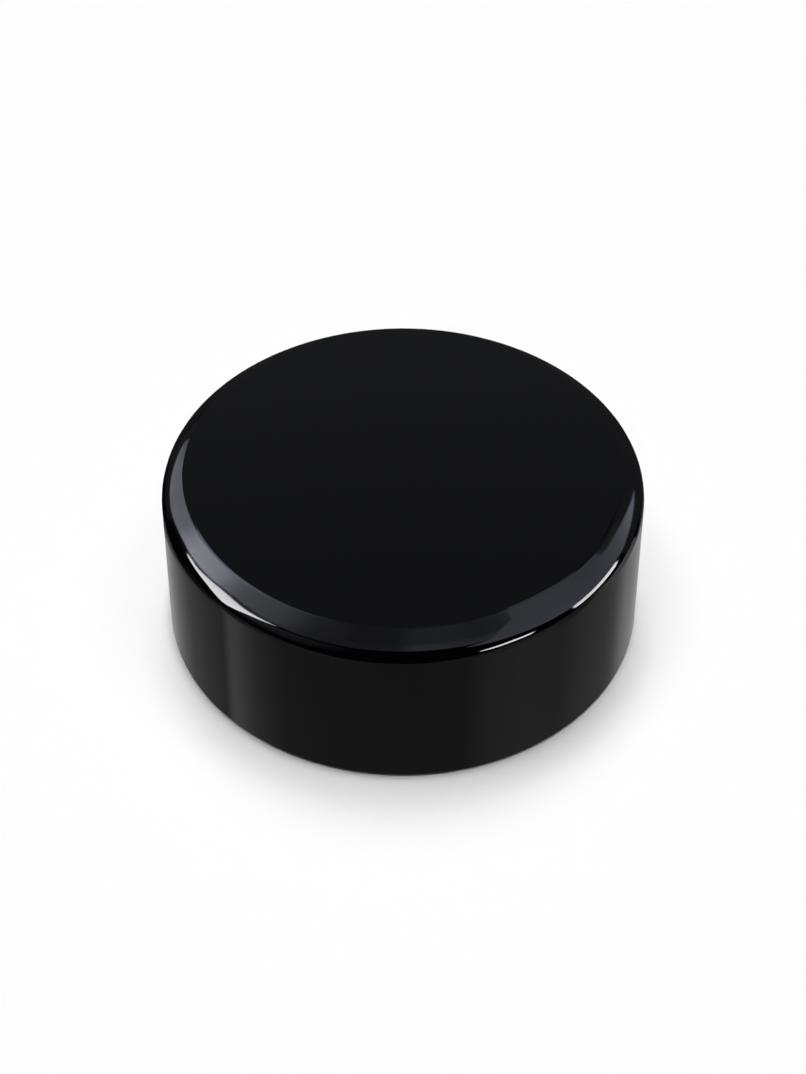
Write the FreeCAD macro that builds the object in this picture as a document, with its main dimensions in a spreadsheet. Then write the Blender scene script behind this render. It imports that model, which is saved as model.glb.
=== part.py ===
# Screw cap for a wide-mouth jar: a moulded cap with an internal thread, and its liner.
# Millimetres. +Z is up along the cap's axis, and the origin is the centre of the open rim,
# which is what the cap stands on.
import FreeCAD, Part
import os
from math import radians

import Sketcher

SIZES = {
    # overall height, and the radius at the thread's root, which the outside follows
    "cap_height": 23.3,
    "root_radius": 28.55,
    # walls
    "skirt_wall": 2.0,
    "top_wall": 2.8,
    "skirt_draft": 1.3,
    # plain relief at the mouth: how far it stands back from the thread's root
    "mouth_step": 0.45,
    # bevel round the top, and the rounds that join it to the top and the skirt
    "bevel_width": 2.98,
    "bevel_angle": 39.1,
    "shoulder_round": 2.2,
    "top_round": 0.8,
    # open rim: its outer edge is rounded, and its inner edge leads the neck in
    "rim_round": 0.3,
    "rim_lead_in": 0.4,
    # single-start thread, six turns to the inch
    "thread_pitch": 4.2333,
    "thread_turns": 1.5,
    "thread_depth": 1.2,
    "crest_width": 0.8,
    "flank_angle": 30,
    # from the liner's sealing face down to the thread's upper end
    "thread_drop": 4.2,
    "thread_relief": 0.4,
    # how far round the thread's ends take to rise from the wall, and the step they start with
    "runout_angle": 35,
    "runout_step": 0.05,
    # how deep the ridge is rooted in the wall, and its stock past the crest before that is bored
    "ridge_root": 0.4,
    "crest_stock": 0.3,
    # liner, and the bead below it that holds it in
    "liner_thickness": 1.2,
    "liner_gap": 0.3,
    "bead_height": 0.45,
    "bead_crest": 0.3,
    "bead_slope": 45,
    "bead_gap": 0.1,
}

# Sizes that follow from those above
MOUTH_RADIUS = "(sizes.root_radius + sizes.mouth_step)"
RIM_RADIUS = f"({MOUTH_RADIUS} + sizes.skirt_wall)"
CREST_RADIUS = "(sizes.root_radius - sizes.thread_depth)"
LINER_RADIUS = "(sizes.root_radius - sizes.liner_gap)"
PANEL_Z = "(sizes.cap_height - sizes.top_wall)"
SEAL_Z = f"({PANEL_Z} - sizes.liner_thickness)"
THREAD_RISE = "(sizes.thread_turns * sizes.thread_pitch)"
THREAD_Z = f"({SEAL_Z} - sizes.thread_drop - {THREAD_RISE})"
ROOT_HALF = "(sizes.crest_width / 2 + sizes.thread_depth * tan(sizes.flank_angle))"
RELIEF_Z = f"({THREAD_Z} - {ROOT_HALF} - sizes.thread_relief)"

SAME_PLACE = 1e-4

doc = FreeCAD.newDocument("screw_cap")


def make_sheet():
    """Driving sizes, one to a row, each with its own alias."""
    table = doc.addObject("Spreadsheet::Sheet", "sizes")
    for row, (name, value) in enumerate(SIZES.items(), start=1):
        table.set(f"A{row}", name)
        table.set(f"B{row}", str(value))
        table.setAlias(f"B{row}", name)
    doc.recompute()


def make_body(name):
    body = doc.addObject("PartDesign::Body", name)
    body.Label = name
    return body


def lay_on(item, body, role):
    """Attach a sketch or a primitive to one of the body's own origin planes."""
    plane = [p for p in body.Origin.OriginFeatures if p.Role == role][0]
    item.AttachmentSupport = [(plane, "")]
    item.MapMode = "FlatFace"


def make_sketch(body, name, role):
    sketch = body.newObject("Sketcher::SketchObject", name)
    lay_on(sketch, body, role)
    return sketch


def draw_outline(sketch, corners):
    """Closed outline of straight lines. Line i leaves corner i, which is a pair of expressions."""
    places = [FreeCAD.Vector(*map(sketch.evalExpression, corner), 0) for corner in corners]
    count = len(places)
    for i, place in enumerate(places):
        sketch.addGeometry(Part.LineSegment(place, places[(i + 1) % count]), False)
    for i in range(count):
        sketch.addConstraint(Sketcher.Constraint("Coincident", i, 2, (i + 1) % count, 1))


def add_dimension(sketch, kind, where, expression):
    """Dimension of this kind, bound to the expression."""
    value = sketch.evalExpression(expression)
    start = radians(value) if kind == "Angle" else value
    index = sketch.addConstraint(Sketcher.Constraint(kind, *where, start))
    sketch.setExpression(f"Constraints[{index}]", expression)


def place_corner(sketch, corner, x=None, y=None):
    """Dimensions from the sketch's origin to the corner that a line leaves."""
    if x:
        add_dimension(sketch, "DistanceX", (-1, 1, corner, 1), x)
    if y:
        add_dimension(sketch, "DistanceY", (-1, 1, corner, 1), y)


def align(sketch, kind, lines):
    for line in lines:
        sketch.addConstraint(Sketcher.Constraint(kind, line))


def round_corner(sketch, corner, radius):
    """Tangent arc at the corner, whose own point stays as the one that is dimensioned."""
    sketch.fillet(corner, 1, sketch.evalExpression(radius), True, True)
    arc = [i for i, item in enumerate(sketch.Geometry) if isinstance(item, Part.ArcOfCircle)][-1]
    add_dimension(sketch, "Radius", (arc,), radius)


def draw_ridge(sketch, crest, root, middle, crest_half, slope):
    """Ridge that stands in from the wall: upright crest, and flanks that widen towards the root."""
    root_low, crest_low, crest_high, root_high = range(4)
    root_half = f"({crest_half} + ({root} - ({crest})) * tan({slope}))"
    draw_outline(sketch, [
        (root, f"{middle} - {root_half}"),
        (crest, f"{middle} - {crest_half}"),
        (crest, f"{middle} + {crest_half}"),
        (root, f"{middle} + {root_half}"),
    ])
    align(sketch, "Vertical", [crest_low, root_high])
    place_corner(sketch, root_low, x=root)
    place_corner(sketch, crest_low, x=crest, y=f"{middle} - {crest_half}")
    place_corner(sketch, crest_high, y=f"{middle} + {crest_half}")
    add_dimension(sketch, "Angle", (crest_high,), slope)
    add_dimension(sketch, "Angle", (root_low,), f"180 - {slope}")


def revolve(body, name, sketch):
    turned = body.newObject("PartDesign::Revolution", name)
    turned.Profile = sketch
    turned.ReferenceAxis = (sketch, ["V_Axis"])
    turned.Angle = 360
    turned.Refine = False


def dress_edge(body, kind, name, corner, size, expression):
    """Fillet or chamfer on the circle that this corner of the section sweeps about the axis."""
    doc.recompute()
    base = body.Tip
    edges = []
    for number, edge in enumerate(base.Shape.Edges, start=1):
        curve = edge.Curve
        if not isinstance(curve, Part.Circle):
            continue
        if abs(curve.Radius - corner.x) < SAME_PLACE and abs(curve.Center.z - corner.y) < SAME_PLACE:
            edges.append(f"Edge{number}")
    dressed = body.newObject(f"PartDesign::{kind}", name)
    dressed.Base = (base, edges)
    dressed.Refine = False
    dressed.setExpression(size, expression)


def make_shell(body):
    """Plain cap: its half section turned about the axis, with its edges rounded or chamfered."""
    axis_top, top_edge, shoulder, rim_outer, rim_inner, relief, root_low, root_high, axis_low = range(9)
    section = make_sketch(body, "section", "XZ_Plane")
    draw_outline(section, [
        ("0", "sizes.cap_height"),
        (f"{RIM_RADIUS} - sizes.bevel_width", "sizes.cap_height"),
        (RIM_RADIUS, "sizes.cap_height - sizes.bevel_width * tan(sizes.bevel_angle)"),
        (RIM_RADIUS, "0"),
        (MOUTH_RADIUS, "0"),
        (MOUTH_RADIUS, f"{RELIEF_Z} - sizes.mouth_step"),
        ("sizes.root_radius", RELIEF_Z),
        ("sizes.root_radius", PANEL_Z),
        ("0", PANEL_Z),
    ])
    align(section, "Horizontal", [axis_top, rim_outer, root_high])
    align(section, "Vertical", [rim_inner, root_low, axis_low])
    section.addConstraint(Sketcher.Constraint("PointOnObject", axis_top, 1, -2))
    section.addConstraint(Sketcher.Constraint("PointOnObject", rim_outer, 1, -1))
    place_corner(section, axis_top, y="sizes.cap_height")
    place_corner(section, rim_outer, x=RIM_RADIUS)
    place_corner(section, rim_inner, x=MOUTH_RADIUS)
    place_corner(section, relief, y=f"{RELIEF_Z} - sizes.mouth_step")
    place_corner(section, root_low, x="sizes.root_radius", y=RELIEF_Z)
    place_corner(section, root_high, y=PANEL_Z)
    add_dimension(section, "DistanceX", (top_edge, 1, shoulder, 1), "sizes.bevel_width")
    add_dimension(section, "Angle", (top_edge,), "-sizes.bevel_angle")
    add_dimension(section, "Angle", (shoulder,), "sizes.skirt_draft - 90")
    doc.recompute()
    corner = [line.StartPoint for line in section.Geometry]
    round_corner(section, shoulder, "sizes.shoulder_round")

    revolve(body, "plain_cap", section)
    dress_edge(body, "Fillet", "top_edge", corner[top_edge], "Radius", "sizes.top_round")
    dress_edge(body, "Fillet", "rim_edge", corner[rim_outer], "Radius", "sizes.rim_round")
    dress_edge(body, "Chamfer", "lead_in", corner[rim_inner], "Size", "sizes.rim_lead_in")


def make_bead(body):
    """Low bead on the wall just below the liner, which keeps it from falling out."""
    crest, root = "sizes.root_radius - sizes.bead_height", "sizes.root_radius + sizes.ridge_root"
    half = "(sizes.bead_crest / 2)"
    middle = f"({SEAL_Z} - sizes.bead_gap - {half} - sizes.bead_height * tan(sizes.bead_slope))"
    section = make_sketch(body, "bead_section", "XZ_Plane")
    draw_ridge(section, crest, root, middle, half, "sizes.bead_slope")
    revolve(body, "liner_bead", section)


def make_ridge(body):
    """Thread ridge: a trapezium carried up a right-handed helix, a little past its crest."""
    crest, root = f"{CREST_RADIUS} - sizes.crest_stock", "sizes.root_radius + sizes.ridge_root"
    half = "(sizes.crest_width / 2 - sizes.crest_stock * tan(sizes.flank_angle))"
    section = make_sketch(body, "ridge_section", "XZ_Plane")
    draw_ridge(section, crest, root, THREAD_Z, half, "sizes.flank_angle")

    ridge = body.newObject("PartDesign::AdditiveHelix", "thread_ridge")
    ridge.Profile = section
    ridge.ReferenceAxis = (section, ["V_Axis"])
    ridge.Mode = "pitch-turns-angle"
    ridge.HasBeenEdited = True
    ridge.Refine = False
    ridge.setExpression("Pitch", "sizes.thread_pitch")
    ridge.setExpression("Turns", "sizes.thread_turns")


def bore_crest(body):
    """Crest of the thread, bored true. Four quarter arcs give it a face to each quarter turn."""
    outline = make_sketch(body, "crest_circle", "XY_Plane")
    radius = outline.evalExpression(CREST_RADIUS)
    circle = Part.Circle(FreeCAD.Vector(0, 0, 0), FreeCAD.Vector(0, 0, 1), radius)
    for quarter in range(4):
        arc = Part.ArcOfCircle(circle, radians(90 * quarter), radians(90 * quarter + 90))
        outline.addGeometry(arc, False)
    for quarter in range(4):
        axis = -1 if quarter % 2 == 0 else -2
        outline.addConstraint(Sketcher.Constraint("Coincident", quarter, 3, -1, 1))
        outline.addConstraint(Sketcher.Constraint("PointOnObject", quarter, 1, axis))
        outline.addConstraint(Sketcher.Constraint("Coincident", quarter, 2, (quarter + 1) % 4, 1))
    add_dimension(outline, "Radius", (0,), CREST_RADIUS)

    crest = body.newObject("PartDesign::Pocket", "crest_bore")
    crest.Profile = outline
    crest.Reversed = True
    crest.Refine = False
    crest.setExpression("Length", f"{THREAD_Z} + {THREAD_RISE} + {ROOT_HALF}")


def fade_end(body, name, angle, height):
    """Run-out of one end of the thread: a round cutter, off centre, that nearly meets the wall there."""
    reach = "(sizes.root_radius - sizes.runout_step)"
    gain = f"({reach} - {CREST_RADIUS} * cos(sizes.runout_angle))"
    off_centre = f"(({reach} ^ 2 - {CREST_RADIUS} ^ 2) / (2 * {gain}))"
    tall = "(sizes.thread_pitch - sizes.thread_relief)"
    cutter = body.newObject("PartDesign::SubtractiveCylinder", name)
    lay_on(cutter, body, "XY_Plane")
    cutter.Refine = False
    cutter.setExpression("Radius", f"{reach} - {off_centre}")
    cutter.setExpression("Height", tall)
    cutter.setExpression("AttachmentOffset.Base.x", f"{off_centre} * cos({angle})")
    cutter.setExpression("AttachmentOffset.Base.y", f"{off_centre} * sin({angle})")
    cutter.setExpression("AttachmentOffset.Base.z", f"{height} - {tall} / 2")
    cutter.setExpression("AttachmentOffset.Rotation.Angle", f"{angle} + 180")


def make_cap():
    body = make_body("cap_shell")
    make_shell(body)
    make_bead(body)
    make_ridge(body)
    bore_crest(body)
    half_runout = "(sizes.thread_pitch * sizes.runout_angle / 720)"
    fade_end(body, "lower_runout", "0", f"{THREAD_Z} + {half_runout}")
    last_turn = "(360 * sizes.thread_turns)"
    fade_end(body, "upper_runout", last_turn, f"{THREAD_Z} + {THREAD_RISE} - {half_runout}")
    return body


def make_liner():
    """Die-cut foam disc, seated on the underside of the top."""
    body = make_body("liner")
    outline = make_sketch(body, "disc", "XY_Plane")
    outline.setExpression("AttachmentOffset.Base.z", SEAL_Z)
    middle, normal = FreeCAD.Vector(0, 0, 0), FreeCAD.Vector(0, 0, 1)
    outline.addGeometry(Part.Circle(middle, normal, outline.evalExpression(LINER_RADIUS)), False)
    outline.addConstraint(Sketcher.Constraint("Coincident", 0, 3, -1, 1))
    add_dimension(outline, "Radius", (0,), LINER_RADIUS)
    disc = body.newObject("PartDesign::Pad", "liner_disc")
    disc.Profile = outline
    disc.setExpression("Length", "sizes.liner_thickness")
    return body


def check(pieces):
    """Stops the build if any feature failed or any piece isn't one valid solid."""
    for item in doc.Objects:
        if {"Invalid", "Error"} & set(item.State):
            raise RuntimeError(f"{item.Name} failed: {item.State}")
    for piece in pieces:
        shape = piece.Shape
        if shape.isNull() or not shape.isValid() or len(shape.Solids) != 1:
            raise RuntimeError(f"{piece.Label} isn't one valid solid")


make_sheet()
nodes = [make_cap(), make_liner()]
doc.recompute()
check(nodes)
os.makedirs("parts", exist_ok=True)
for node in nodes:
    node.Shape.exportStep(f"parts/{node.Label}.step")
    print(node.Label, "volume", round(node.Shape.Volume, 2))
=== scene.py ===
from math import acos, ceil, cos, floor, hypot, pi, radians, sin, sqrt, tan

import bmesh
import bpy
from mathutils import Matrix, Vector


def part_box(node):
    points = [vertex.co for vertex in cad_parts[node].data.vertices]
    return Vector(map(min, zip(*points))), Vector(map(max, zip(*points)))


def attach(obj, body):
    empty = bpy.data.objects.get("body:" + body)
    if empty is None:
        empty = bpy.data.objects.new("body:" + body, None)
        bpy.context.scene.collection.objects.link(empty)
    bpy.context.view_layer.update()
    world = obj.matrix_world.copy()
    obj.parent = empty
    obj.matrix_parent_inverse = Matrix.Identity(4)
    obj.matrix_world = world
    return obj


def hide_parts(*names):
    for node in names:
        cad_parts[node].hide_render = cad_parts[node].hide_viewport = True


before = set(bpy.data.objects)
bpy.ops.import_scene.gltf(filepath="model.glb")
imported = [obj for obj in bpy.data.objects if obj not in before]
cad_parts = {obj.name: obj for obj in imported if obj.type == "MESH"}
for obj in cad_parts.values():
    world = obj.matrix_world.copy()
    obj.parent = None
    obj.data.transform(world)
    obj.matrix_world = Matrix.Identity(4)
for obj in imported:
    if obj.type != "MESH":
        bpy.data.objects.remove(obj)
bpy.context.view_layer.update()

# Outside of the cap: flat top, bevel, rounded shoulder, and a plain skirt that flares a little down
# to the open rim. The cap is one injection moulding in black ABS, and the mould was polished to a
# mirror on this side. Sizes are millimetres, and an outline's points are (radius, height).
MM = 0.001
TOP_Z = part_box("cap_shell")[1].z / MM
RIM_RADIUS = 31.0
SKIRT_DRAFT = radians(1.3)
BEVEL_WIDTH, BEVEL_ANGLE = 2.98, radians(39.1)
TOP_ROUND, SHOULDER_ROUND, RIM_ROUND = 0.8, 2.2, 0.3
SECTORS = 288
ARC_STEP, ARC_SPACING = radians(2.5), 0.25
# loops this close to both ends of a round keep the flat or the cone beside it true
HOLD = 0.03


def rounded(*corners, step=ARC_STEP):
    """Outline through corners, each with the radius of its round, which becomes a tangent arc."""
    points = [Vector(corners[0][:2])]
    for before, here, after in zip(corners, corners[1:], corners[2:]):
        corner, size = Vector(here[:2]), here[2]
        way_in = (corner - Vector(before[:2])).normalized()
        way_out = (Vector(after[:2]) - corner).normalized()
        turn = acos(way_in.dot(way_out))
        reach = size * tan(turn / 2)
        points.append(corner - way_in * (reach + HOLD))
        if size:
            across, along = (way_out - way_in).normalized(), (way_in + way_out).normalized()
            centre = corner + across * hypot(reach, size)
            steps = max(ceil(turn / step), ceil(turn * size / ARC_SPACING))
            leans = [turn * (part / steps - 0.5) for part in range(steps + 1)]
            points += [centre - across * size * cos(lean) + along * size * sin(lean) for lean in leans]
        else:
            points.append(corner)
        points.append(corner + way_out * (reach + HOLD))
    return points + [Vector(corners[-1][:2])]


def place(angle, radius, height):
    """Point in metres at this angle round the axis, from a radius and a height in millimetres."""
    return radius * cos(angle) * MM, radius * sin(angle) * MM, height * MM


def spin(mesh, outline, finish):
    """Faces of an outline turned about the axis, in this material slot."""
    rings = []
    for radius, height in outline:
        count = SECTORS if radius else 1
        rings.append([mesh.verts.new(place(2 * pi * i / SECTORS, radius, height)) for i in range(count)])
    for near, far in zip(rings, rings[1:]):
        for i in range(SECTORS):
            j = (i + 1) % SECTORS
            loop = [near[i % len(near)], near[j % len(near)], far[j % len(far)], far[i % len(far)]]
            mesh.faces.new(list(dict.fromkeys(loop))).material_index = finish


shoulder_z = TOP_Z - BEVEL_WIDTH * tan(BEVEL_ANGLE)
shoulder_radius = RIM_RADIUS - shoulder_z * tan(SKIRT_DRAFT)
# the mould's polish left the bevel a few hundredths of a millimetre proud in the middle
CROWN, CROWN_REACH = radians(2), 0.9
crown_rise = BEVEL_WIDTH / 2 / cos(BEVEL_ANGLE) * tan(CROWN)
RIM_FLAT = 30.0
cap_mesh = bmesh.new()
OUTSIDE, INSIDE = 0, 1
spin(cap_mesh, rounded(
    (0, TOP_Z, 0),
    (shoulder_radius - BEVEL_WIDTH, TOP_Z, TOP_ROUND),
    (shoulder_radius - BEVEL_WIDTH / 2 + crown_rise * sin(BEVEL_ANGLE),
     (TOP_Z + shoulder_z) / 2 + crown_rise * cos(BEVEL_ANGLE), CROWN_REACH / tan(CROWN)),
    (shoulder_radius, shoulder_z, SHOULDER_ROUND),
    (RIM_RADIUS, 0, RIM_ROUND),
    (RIM_FLAT, 0, 0),
), OUTSIDE)

# Inside of the cap: a chamfer at the rim leads the jar's neck into a plain relief, then come the
# single-start thread and the low bead that holds the liner. It is the same moulding, left with the
# fine satin of a spark-eroded core.
SKIRT_WALL, MOUTH_STEP, LEAD_IN = 2.0, 0.45, 0.4
MOUTH_RADIUS = RIM_RADIUS - SKIRT_WALL
ROOT_RADIUS = MOUTH_RADIUS - MOUTH_STEP
liner_low, liner_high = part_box("liner")
PANEL_Z, SEAL_Z = liner_high.z / MM, liner_low.z / MM
INCH, THREADS_PER_INCH = 25.4, 6
PITCH, TURNS = INCH / THREADS_PER_INCH, 1.5
THREAD_DEPTH, CREST_HALF, FLANK = 1.2, 0.4, radians(30)
CREST_RADIUS = ROOT_RADIUS - THREAD_DEPTH
# from the liner down to the thread's upper end, and from its lower end down to the relief
THREAD_DROP, THREAD_RELIEF = 4.2, 0.4
RUN_OUT, RUN_OUT_STEP = radians(35), 0.05
BEAD_HEIGHT, BEAD_CREST, BEAD_GAP = 0.45, 0.3, 0.1
# the small rounds are stepped more coarsely than those outside, where the gloss shows each step
EDGE_ROUND, EDGE_STEP = 0.12, radians(12)

root_half = CREST_HALF + THREAD_DEPTH * tan(FLANK)
thread_z = SEAL_Z - THREAD_DROP - TURNS * PITCH
relief_z = thread_z - root_half - THREAD_RELIEF
bead_top = SEAL_Z - BEAD_GAP
bead_foot = bead_top - BEAD_CREST - 2 * BEAD_HEIGHT

spin(cap_mesh, rounded(
    (RIM_FLAT, 0, 0),
    (MOUTH_RADIUS + LEAD_IN, 0, EDGE_ROUND),
    (MOUTH_RADIUS, LEAD_IN, EDGE_ROUND),
    (MOUTH_RADIUS, relief_z - MOUTH_STEP, EDGE_ROUND),
    (ROOT_RADIUS, relief_z, 0),
    step=EDGE_STEP), INSIDE)
spin(cap_mesh, rounded(
    (ROOT_RADIUS, bead_foot, 0),
    (ROOT_RADIUS - BEAD_HEIGHT, bead_foot + BEAD_HEIGHT, EDGE_ROUND),
    (ROOT_RADIUS - BEAD_HEIGHT, bead_top - BEAD_HEIGHT, EDGE_ROUND),
    (ROOT_RADIUS, bead_top, 0),
    (ROOT_RADIUS, PANEL_Z, 0),
    (0, PANEL_Z, 0),
    step=EDGE_STEP), INSIDE)

# the round cutter that fades an end out stands off centre and nearly meets the wall there
reach = ROOT_RADIUS - RUN_OUT_STEP
off_centre = (reach ** 2 - CREST_RADIUS ** 2) / (2 * (reach - CREST_RADIUS * cos(RUN_OUT)))
cutter_radius = reach - off_centre


def ridge_radius(along, radius):
    """Radius at this helix angle of a point that stands at the given one on the full ridge."""
    if not 0 <= along <= 2 * pi * TURNS:
        return ROOT_RADIUS
    from_end = min(along, 2 * pi * TURNS - along)
    if from_end > RUN_OUT:
        return radius
    cut = off_centre * cos(from_end) + sqrt(cutter_radius ** 2 - (off_centre * sin(from_end)) ** 2)
    return max(radius, min(cut, ROOT_RADIUS))


# rows follow the helix, so that the ridge's edges run along them, and end at the wall's two rings
ridge = rounded(
    (ROOT_RADIUS, -PITCH / 2, 0),
    (ROOT_RADIUS, -root_half, EDGE_ROUND),
    (CREST_RADIUS, -CREST_HALF, EDGE_ROUND),
    (CREST_RADIUS, CREST_HALF, EDGE_ROUND),
    (ROOT_RADIUS, root_half, EDGE_ROUND),
    (ROOT_RADIUS, PITCH / 2, 0),
    step=EDGE_STEP)[:-1]
# the turns that reach from one ring to the other
first_turn = floor((relief_z - thread_z) / PITCH - 0.5)
last_turn = ceil((bead_foot - thread_z) / PITCH)
rows = []
for turn in range(first_turn, last_turn + 1):
    for radius, height in ridge:
        row = []
        for i in range(SECTORS + 1):
            angle = 2 * pi * i / SECTORS
            level = thread_z + PITCH * (turn + i / SECTORS) + height
            inside = relief_z < level < bead_foot
            here = ridge_radius(angle + 2 * pi * turn, radius) if inside else ROOT_RADIUS
            row.append(cap_mesh.verts.new(place(angle, here, min(max(level, relief_z), bead_foot))))
        rows.append(row)
for near, far in zip(rows, rows[1:]):
    for i in range(SECTORS):
        cap_mesh.faces.new([near[i], near[i + 1], far[i + 1], far[i]]).material_index = INSIDE
SAME_PLACE = 1e-4 * MM
bmesh.ops.remove_doubles(cap_mesh, verts=cap_mesh.verts, dist=SAME_PLACE)
bmesh.ops.dissolve_degenerate(cap_mesh, edges=cap_mesh.edges, dist=SAME_PLACE)
bmesh.ops.recalc_face_normals(cap_mesh, faces=cap_mesh.faces)
SHARP = radians(35)


def make_piece(name, mesh, materials, node):
    """Object from a finished mesh, which stands for this node of the frame."""
    data = bpy.data.meshes.new(name)
    mesh.to_mesh(data)
    mesh.free()
    for material in materials:
        data.materials.append(material)
    data.shade_smooth()
    data.set_sharp_from_angle(angle=SHARP)
    piece = bpy.data.objects.new(name, data)
    bpy.context.scene.collection.objects.link(piece)
    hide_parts(node)
    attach(piece, "root")


def srgb(code):
    """Linear colour from a hex code."""
    parts = [int(code[i:i + 2], 16) / 255 for i in (1, 3, 5)]
    return [p / 12.92 if p <= 0.04045 else ((p + 0.055) / 1.055) ** 2.4 for p in parts] + [1]


def add(tree, kind, settings, inputs):
    """Adds a node with these settings. An input is a value, or another node's output to link."""
    made = tree.nodes.new("ShaderNode" + kind)
    for name, value in settings.items():
        setattr(made, name, value)
    for name, value in inputs.items():
        if isinstance(value, bpy.types.NodeSocket):
            tree.links.new(value, made.inputs[name])
        else:
            made.inputs[name].default_value = value
    return made


def new_tree(name):
    """Material with this name, and its empty node tree."""
    material = bpy.data.materials.new(name)
    material.use_nodes = True
    material.node_tree.nodes.clear()
    return material, material.node_tree


# ABS from a mirror-polished mould: deep black and wet-looking, so the eye reads only what it
# mirrors. Slow waves of a few millimetres, where the plastic shrank, bend those reflections a
# little, and faint haze from handling varies how crisp they are.
ABS_IOR = 1.53
WAVE_WIDTH, WAVE_DEPTH, HAZE_WIDTH = 5, 0.002, 7
polished_abs, tree = new_tree("polished_black_abs")
where = add(tree, "TexCoord", {}, {}).outputs["Object"]
waves = add(tree, "TexNoise", {}, {"Vector": where, "Scale": 1 / (WAVE_WIDTH * MM), "Detail": 1.0})
shrink = add(tree, "Bump", {}, {"Height": waves.outputs["Fac"], "Distance": WAVE_DEPTH * MM})
haze = add(tree, "TexNoise", {}, {"Vector": where, "Scale": 1 / (HAZE_WIDTH * MM), "Detail": 4.0})
crispness = add(tree, "MapRange", {}, {
    "Value": haze.outputs["Fac"], "From Min": 0.3, "From Max": 0.7, "To Min": 0.045, "To Max": 0.06})
shader = add(tree, "BsdfPrincipled", {}, {
    "Base Color": srgb("#020203"), "IOR": ABS_IOR, "Roughness": crispness.outputs["Result"],
    "Normal": shrink.outputs["Normal"]})
add(tree, "OutputMaterial", {}, {"Surface": shader.outputs["BSDF"]})

# The same ABS off a spark-eroded core: a fine even satin, a shade lighter than the gloss. The
# texture is some 0.05 mm across and is drawn at 0.15 mm, so that it shows.
GRAIN_WIDTH, GRAIN_DEPTH = 0.15, 0.01
satin_abs, tree = new_tree("satin_black_abs")
where = add(tree, "TexCoord", {}, {}).outputs["Object"]
grain = add(tree, "TexNoise", {}, {"Vector": where, "Scale": 1 / (GRAIN_WIDTH * MM), "Detail": 3.0})
eroded = add(tree, "Bump", {}, {"Height": grain.outputs["Fac"], "Distance": GRAIN_DEPTH * MM})
shader = add(tree, "BsdfPrincipled", {}, {
    "Base Color": srgb("#0B0B0C"), "IOR": ABS_IOR, "Roughness": 0.38, "Normal": eroded.outputs["Normal"]})
add(tree, "OutputMaterial", {}, {"Surface": shader.outputs["BSDF"]})
make_piece("cap", cap_mesh, [polished_abs, satin_abs], "cap_shell")

# Liner: a disc die-cut from foamed polyethylene sheet and pressed in against the underside of the
# top, where the bead keeps it.
LINER_RADIUS = liner_high.x / MM
DIE_ROUND = 0.15
liner_mesh = bmesh.new()
spin(liner_mesh, rounded(
    (0, PANEL_Z, 0),
    (LINER_RADIUS, PANEL_Z, DIE_ROUND),
    (LINER_RADIUS, SEAL_Z, DIE_ROUND),
    (0, SEAL_Z, 0),
    step=EDGE_STEP), 0)
bmesh.ops.recalc_face_normals(liner_mesh, faces=liner_mesh.faces)

# Foamed polyethylene: milky off-white, soft, with cells of about 0.4 mm that dimple its skin and
# let a little light in.
CELL_WIDTH, CELL_DEPTH, LIGHT_REACH = 0.4, 0.04, 1
foam, tree = new_tree("foamed_polyethylene")
where = add(tree, "TexCoord", {}, {}).outputs["Object"]
cells = add(tree, "TexVoronoi", {}, {"Vector": where, "Scale": 1 / (CELL_WIDTH * MM)})
dimples = add(tree, "Bump", {}, {"Height": cells.outputs["Distance"], "Distance": CELL_DEPTH * MM})
tint = add(tree, "Mix", {"data_type": "RGBA"}, {
    0: cells.outputs["Distance"], 6: srgb("#E9E8E3"), 7: srgb("#F4F3EF")})
shader = add(tree, "BsdfPrincipled", {}, {
    "Base Color": tint.outputs[2], "IOR": 1.5, "Roughness": 0.55, "Subsurface Weight": 0.25,
    "Subsurface Scale": LIGHT_REACH * MM, "Normal": dimples.outputs["Normal"]})
add(tree, "OutputMaterial", {}, {"Surface": shader.outputs["BSDF"]})
make_piece("liner_disc", liner_mesh, [foam], "liner")

# Studio floor: a plain white sheet, which carries the cap's soft shadow. It is kept out of the gloss,
# where the dim cards below the horizon stand for it, because the photograph's skirt mirrors a dim table.
FLOOR_HALF = 4.0
floor_data = bpy.data.meshes.new("floor")
corners = [(x * FLOOR_HALF, y * FLOOR_HALF, 0) for x, y in ((-1, -1), (1, -1), (1, 1), (-1, 1))]
floor_data.from_pydata(corners, [], [range(4)])
floor_sheet = bpy.data.objects.new("floor", floor_data)
bpy.context.scene.collection.objects.link(floor_sheet)
floor_sheet.visible_glossy = False
paper, tree = new_tree("white_paper")
white = add(tree, "BsdfDiffuse", {}, {"Color": srgb("#F6F6F6")})
add(tree, "OutputMaterial", {}, {"Surface": white.outputs["BSDF"]})
floor_data.materials.append(paper)

# Light on the floor: two small lamps nearly above for the crisp dark line at the rim, and soft ones
# behind and to the sides, which spread the shadow to the front. Each takes a share of what makes the
# paper just white. Azimuth, elevation and width are degrees.
FULL_LIGHT = 3.36


def direction(azimuth, elevation):
    """Unit vector towards this place in the sky."""
    turn, rise = radians(azimuth), radians(elevation)
    return Vector((cos(turn) * cos(rise), sin(turn) * cos(rise), sin(rise)))


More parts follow.
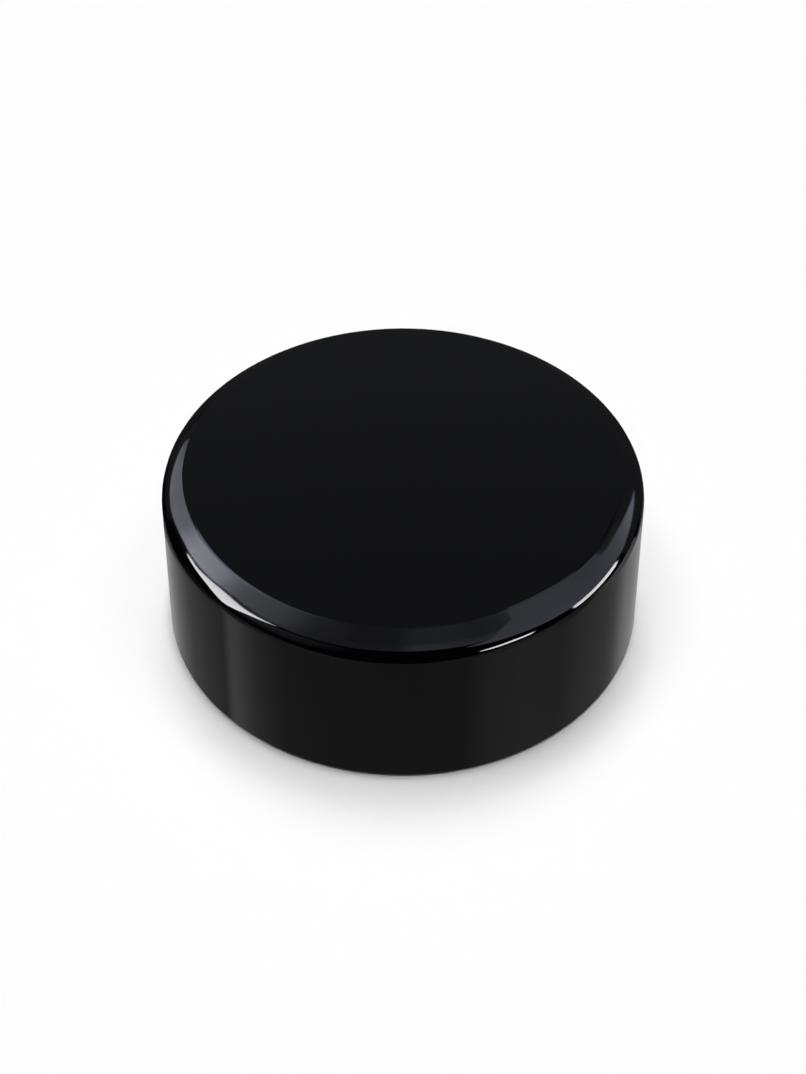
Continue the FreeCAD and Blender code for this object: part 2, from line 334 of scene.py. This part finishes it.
for name, azimuth, elevation, width, share in (
        ("right_lamp_above", 45, 87, 5, 0.28), ("left_lamp_above", 115, 87, 5, 0.14),
        ("lamp_behind", 90, 76, 20, 0.26), ("low_lamp_behind", 90, 65, 20, 0.10),
        ("lamp_left", 180, 73, 20, 0.15), ("lamp_right", -5, 68, 20, 0.07)):
    toward = direction(azimuth, elevation)
    lamp_data = bpy.data.lights.new(name, "SUN")
    lamp_data.angle = radians(width)
    lamp_data.energy = FULL_LIGHT * share / toward.z
    lamp = bpy.data.objects.new(name, lamp_data)
    lamp.rotation_euler = toward.to_track_quat("Z", "Y").to_euler()
    lamp.visible_glossy = lamp.visible_camera = False
    bpy.context.scene.collection.objects.link(lamp)

# Cards and softboxes that the gloss mirrors, each a strip on a sphere about the cap. A station gives an
# azimuth, the elevations of the strip's low and high edge there, and how bright each edge is. A card of
# a lower layer stands in front of one of a higher layer.
CARD_DISTANCE, LAYER_GAP = 1.0, 0.002
# a strip's mesh has a stop every few degrees, and this many faces between its edges
CARD_STEP, CARD_ROWS = 3, 12
AIM = Vector((0, 0, TOP_Z * MM))


def card(layer, name, tint, *stations):
    """Strip that glows as its stations say, seen only in reflections."""
    stops = []
    for here, there in zip(stations, stations[1:]):
        count = ceil((there[0] - here[0]) / CARD_STEP)
        stops += [[a + (b - a) * i / count for a, b in zip(here, there)] for i in range(count)]
    stops.append(stations[-1])
    points, glow = [], []
    for azimuth, low, high, at_low, at_high in stops:
        for row in range(CARD_ROWS + 1):
            part = row / CARD_ROWS
            toward = direction(azimuth, low + (high - low) * part)
            points.append(AIM + (CARD_DISTANCE + layer * LAYER_GAP) * toward)
            glow.append(at_low + (at_high - at_low) * part)
    side = CARD_ROWS + 1
    corners = [side * i + row for i in range(len(stops) - 1) for row in range(CARD_ROWS)]
    data = bpy.data.meshes.new(name)
    data.from_pydata(points, [], [(i, i + 1, i + 1 + side, i + side) for i in corners])
    data.attributes.new("glow", "FLOAT", "POINT").data.foreach_set("value", glow)
    material, tree = new_tree(name)
    strength = add(tree, "Attribute", {"attribute_name": "glow"}, {})
    light = add(tree, "Emission", {}, {"Color": srgb(tint), "Strength": strength.outputs["Fac"]})
    add(tree, "OutputMaterial", {}, {"Surface": light.outputs["Emission"]})
    data.materials.append(material)
    strip = bpy.data.objects.new(name, data)
    strip.visible_camera = strip.visible_diffuse = strip.visible_shadow = False
    bpy.context.scene.collection.objects.link(strip)


# the dim table that the skirt mirrors: at a distance, behind the cap, and close by
card(0, "table_beyond", "#FFFFFF",
    (-270, -44, -36, 0.06, 0.06), (-240, -44, -30, 0.1, 0.02), (-204, -44, -36, 0.04, 0.02),
    (-190, -44, -16, 0.02, 0.03), (-184, -44, -20, 0.17, 0.02), (-179, -44, -28, 0.2, 0.03),
    (-174, -44, -22, 0.03, 0.12), (-163, -44, -23, 0.1, 0.15), (-142, -44, -25, 0.12, 0.18),
    (-121, -44, -29, 0.13, 0.2), (-110, -44, -32, 0.13, 0.12), (-80, -44, -32, 0.13, 0.12),
    (-59, -44, -25, 0.15, 0.16), (-48, -44, -18, 0.15, 0.2), (-38, -44, -18, 0.16, 0.25),
    (-27, -44, -14, 0.2, 0.18), (-7, -44, -6, 0.1, 0.13), (4, -44, -14, 0.2, 0.5),
    (14, -44, -14, 0.12, 0.7), (24, -44, -14, 0.18, 0.5), (34, -44, -31, 0.31, 0.2),
    (55, -44, -31, 0.5, 0.25), (70, -44, -39, 0.3, 0.05), (90, -44, -42, 0.1, 0.03))
card(1, "table_back", "#FFFFFF",
    (34, -31, -8, 0.1, 0.03), (45, -31, -8, 0.06, 0.04), (62, -31, -8, 0.03, 0.035),
    (90, -37, -8, 0.018, 0.03), (118, -31, -8, 0.03, 0.03), (128, -29, -8, 0.03, 0.04))
card(2, "table", "#FFFFFF",
    (-270, -90, -44, 0.41, 0.41), (-239, -90, -44, 0.41, 0.41), (-212, -90, -44, 0.2, 0.2),
    (-184.5, -90, -44, 0.15, 0.15), (-179, -90, -44, 0.38, 0.38), (-175, -90, -44, 0.37, 0.37),
    (-164, -90, -44, 0.22, 0.22), (-147, -90, -44, 0.12, 0.12), (-61, -90, -44, 0.12, 0.12),
    (-49, -90, -44, 0.19, 0.19), (-31, -90, -44, 0.2, 0.2), (-11, -90, -44, 0.15, 0.15),
    (4, -90, -44, 0.175, 0.175), (22, -90, -44, 0.175, 0.175), (30, -90, -44, 0.21, 0.21),
    (42, -90, -44, 0.4, 0.4), (90, -90, -44, 0.41, 0.41))
# softboxes, which give the shoulder its two streaks on the right and its crescent on the left
card(3, "right_key", "#FBFAFF",
    (-17, 1, 12, 13, 13), (-14, -1, 14, 13, 13), (8, 3, 16.5, 13, 13), (11, 8, 16.5, 13, 13))
card(4, "right_low_key", "#FFFFFF",
    (-59.5, -6.5, -4, 16, 16), (-55, -8.5, -1, 16, 16), (-46, -5.5, 3.5, 16, 16), (-38.5, -4, 3, 16, 16),
    (-36.5, -2, 1, 16, 16))
card(5, "left_key", "#FBFAFF",
    (-196, 18.7, 19, 12, 12), (-193.5, 18.3, 20.6, 13.5, 13.5), (-189, 17, 23, 13.5, 13.5),
    (-182, 13.6, 27.3, 13.5, 13.5), (-178, 11, 29.6, 13.5, 13.5), (-174, 6, 31.4, 13.5, 13.5),
    (-171, 2, 32.4, 13.5, 13.5), (-168, -2.5, 33.4, 13.5, 13.5), (-165, 0, 34.3, 14, 14),
    (-161, 10, 35.6, 14.5, 14.5), (-157, 24, 36.8, 14, 14.5), (-153, 33, 38.2, 10, 12),
    (-149.5, 38, 39.3, 4, 6))
# walls beside the softboxes, which give the bevel its grey bands, brightest near a softbox
card(6, "right_fill", "#E9EDFF",
    (-62, 34, 36, 0.9, 0.9), (-56, 31, 40.5, 0.95, 0.85), (-48, 28, 44.2, 0.95, 0.87),
    (-38, 24.5, 46.7, 0.95, 0.86), (-33, 21, 47.5, 1, 0.84), (-27, 18, 60, 1, 0.78),
    (-17, 14.5, 66, 1.05, 0.75), (-3, 17.5, 67, 0.9, 0.7), (3, 19.5, 40, 0.85, 0.7),
    (6.2, 19, 36, 0.87, 0.75), (8.7, 18.9, 31.6, 0.9, 0.8), (12.8, 18.1, 28.1, 0.95, 0.85),
    (16, 17.3, 25.8, 1, 0.9), (19, 16.7, 23.8, 1.15, 0.95), (21.5, 15.7, 22.2, 1.25, 1),
    (24.1, 14.4, 20.35, 1.35, 1.05), (28.9, 11.9, 16.4, 1.5, 1.25), (32.6, 9.9, 13, 1.6, 1.45),
    (36, 7.8, 9.4, 1.4, 1.3), (39.3, 5.8, 6.3, 1, 1))
card(7, "right_fill_top", "#E9EDFF",
    (-3, 38, 67, 0.7, 0.75), (8, 42, 68, 0.7, 0.75), (19, 50, 69, 0.6, 0.75), (32, 56, 69, 0.6, 0.75),
    (48, 59, 68, 0.7, 0.7), (70, 56, 62, 0.7, 0.7))
card(8, "left_fill", "#EDF0FF",
    (-235, -3.4, -3.3, 0.7, 0.7), (-233, -2.9, -1.6, 0.8, 0.8), (-230.6, -1.7, 0.7, 1, 0.8),
    (-228.8, -0.8, 2.4, 1.2, 0.9), (-226.9, 0.2, 4.1, 1.2, 1.1), (-223.5, 2.1, 7.4, 1.3, 1.2),
    (-221, 3.6, 14, 1.5, 1.1), (-216, 6.8, 30, 1.5, 1), (-211, 10.2, 40, 1.9, 1.1),
    (-206, 14, 46, 2, 1.7), (-200.5, 17.7, 50, 3.5, 3.2), (-196, 20.2, 52, 4.7, 2.9),
    (-189, 24.1, 55, 4.7, 2.3), (-182, 28.4, 57, 4.2, 1.5), (-178, 30.8, 58, 2.6, 1.3),
    (-171.4, 33.9, 59, 1.45, 1.25), (-161, 37.2, 60, 1.1, 1.1), (-152, 39.7, 60, 0.87, 0.87),
    (-147, 41, 60, 0.62, 0.72), (-142, 42, 60, 0.38, 0.6), (-136, 43.2, 60, 0.25, 0.36),
    (-118, 45, 60, 0.2, 0.2))
card(9, "left_fill_top", "#E9EDFF",
    (-236, 44, 50, 0.8, 1.2), (-225, 44, 58, 1.8, 1.6), (-216, 38, 62, 2.6, 1.2), (-208, 38, 64, 3, 1),
    (-200, 45, 66, 2.7, 0.8), (-189, 50, 68, 2, 0.6), (-176, 54, 70, 1.2, 0.4), (-160, 56, 74, 0.9, 0.3),
    (-144, 56, 78, 0.5, 0.2))
card(10, "front_left_fill", "#EAF1FF",
    (-170, 0, 30, 0.1, 0.28), (-163, 0, 30, 0.08, 0.3), (-153, 0, 31, 0.08, 0.36),
    (-142, 0, 36, 0.1, 0.22), (-132, 0, 38, 0.08, 0.2), (-121, 2, 36, 0.02, 0.12),
    (-112, 6, 34, 0.005, 0.02), (-108, 8, 32, 0.005, 0.006))
# the ceiling, which the flat top and the front of the bevel mirror, and its edge over the camera
card(11, "ceiling_edge", "#EAF1FF",
    (-150, 44, 50, 0.4, 0.25), (-120, 45.5, 50, 0.28, 0.19), (-100, 46.8, 51, 0.25, 0.19),
    (-92, 47, 51.2, 0.28, 0.2), (-84, 47, 51.2, 0.58, 0.48), (-68, 46, 50.5, 0.55, 0.46),
    (-57, 44.5, 49, 0.52, 0.4), (-48, 43, 47.2, 0.5, 0.4), (-40, 42, 46.5, 0.5, 0.4))
card(12, "ceiling_right", "#EAF1FF",
    (-93, 49, 60, 0.19, 0.19), (-84, 49, 60, 0.31, 0.31), (-66, 48, 60, 0.31, 0.32),
    (-50, 46, 60, 0.23, 0.26), (-38, 46, 60, 0.32, 0.35), (-32, 46, 62, 0.46, 0.46),
    (-20, 46, 72, 0.3, 0.3), (0, 60, 76, 0.25, 0.2))
card(13, "ceiling", "#EFF3FF",
    (-300, 46, 90, 0.112, 0.13), (-222, 46, 90, 0.112, 0.13), (-210, 52, 90, 0.13, 0.13),
    (-180, 52, 90, 0.17, 0.13), (-90, 50, 90, 0.19, 0.13), (-60, 50, 90, 0.25, 0.13),
    (-30, 50, 90, 0.2, 0.13), (0, 45, 90, 0.12, 0.13), (60, 46, 90, 0.112, 0.13))
# the wall behind the cap: a paler band high up, which the flat top mirrors, and the dim rest
card(14, "back_wall", "#EFF3FF",
    (-300, 36, 46.5, 0.155, 0.11), (-262, 36, 46.5, 0.178, 0.112), (-220, 36, 46.5, 0.178, 0.112))
card(15, "dim_wall_behind", "#F2F4FF",
    (15, -8, 47, 0.09, 0.12), (60, -8, 40, 0.05, 0.12), (75, -8, 38, 0.06, 0.16),
    (109, -8, 38, 0.06, 0.17), (120, -8, 38, 0.06, 0.11), (150, -8, 38, 0.05, 0.09))

# Surroundings: the camera sees white behind everything, as with a lit backdrop. To the gloss and to
# the floor the room beyond the cards is nearly black, as in a darkened studio.
ROOM_GLOW = 0.006
world = bpy.data.worlds.new("studio")
bpy.context.scene.world = world
world.use_nodes = True
tree = world.node_tree
tree.nodes.clear()
seen = add(tree, "LightPath", {}, {})
room = add(tree, "Background", {}, {"Color": srgb("#FFFFFF"), "Strength": ROOM_GLOW})
backdrop = add(tree, "Background", {}, {"Color": srgb("#FFFFFF"), "Strength": 1.0})
either = add(tree, "MixShader", {}, {
    0: seen.outputs["Is Camera Ray"], 1: room.outputs["Background"], 2: backdrop.outputs["Background"]})
add(tree, "OutputWorld", {}, {"Surface": either.outputs["Shader"]})
bpy.context.scene.view_settings.view_transform = "Standard"

# Camera: looks down on the cap at about 45 degrees with a short telephoto, as the photograph does.
# The distance and the point it looks at are metres, the elevation radians and the lens millimetres.
CAMERA_DISTANCE = 0.2549
CAMERA_ELEVATION = 0.7792
CAMERA_LENS = 65.51
LOOK_AT = Vector((0, 0, 0.01069))
away = Vector((0, -cos(CAMERA_ELEVATION), sin(CAMERA_ELEVATION)))
camera_data = bpy.data.cameras.new("camera")
camera_data.lens = CAMERA_LENS
camera = bpy.data.objects.new("camera", camera_data)
camera.location = LOOK_AT + away * CAMERA_DISTANCE
camera.rotation_euler = away.to_track_quat("Z", "Y").to_euler()
bpy.context.scene.collection.objects.link(camera)
bpy.context.scene.camera = camera
